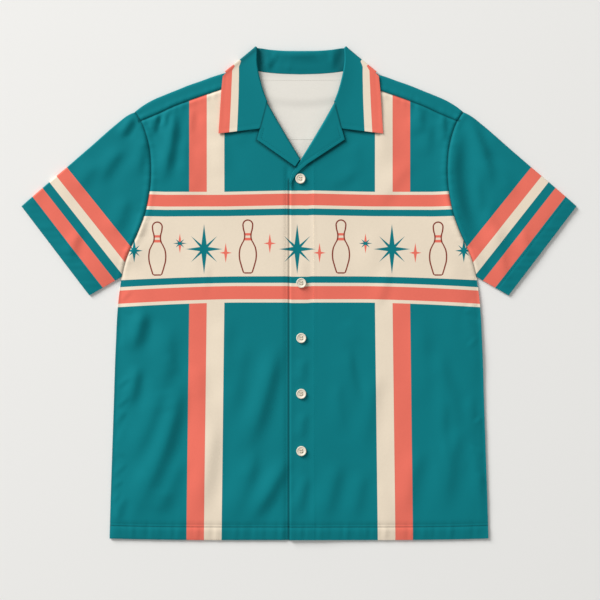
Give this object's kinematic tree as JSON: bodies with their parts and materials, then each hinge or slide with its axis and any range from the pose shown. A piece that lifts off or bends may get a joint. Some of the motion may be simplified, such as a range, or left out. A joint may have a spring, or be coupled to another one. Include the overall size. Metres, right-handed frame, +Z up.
{
  "type": "bowling shirt",
  "caption": "Short-sleeved camp-collar bowling shirt laid flat with its front up, buttoned, with printed bands, stripes, stars and pins.",
  "frame": {"origin": "on the surface it lies on, under the middle of the laid shirt's outline", "axes": "+X across the shirt to the wearer's left, +Y from hem to collar, +Z up out of the surface"},
  "size_m": [0.834, 0.7412, 0.0089],
  "materials": {
    "printed_cloth": "matt printed plain weave, teal ground with coral and cream bands",
    "button": "satin cream resin"
  },
  "bodies": {
    "root": {"back": "printed_cloth", "yoke": "printed_cloth", "front_right": "printed_cloth", "front_left": "printed_cloth", "lapel_right": "printed_cloth", "lapel_left": "printed_cloth", "collar": "printed_cloth", "sleeve_right": "printed_cloth", "sleeve_left": "printed_cloth", "button_1": "button", "button_2": "button", "button_3": "button", "button_4": "button", "button_5": "button"}
  },
  "joints": []
}
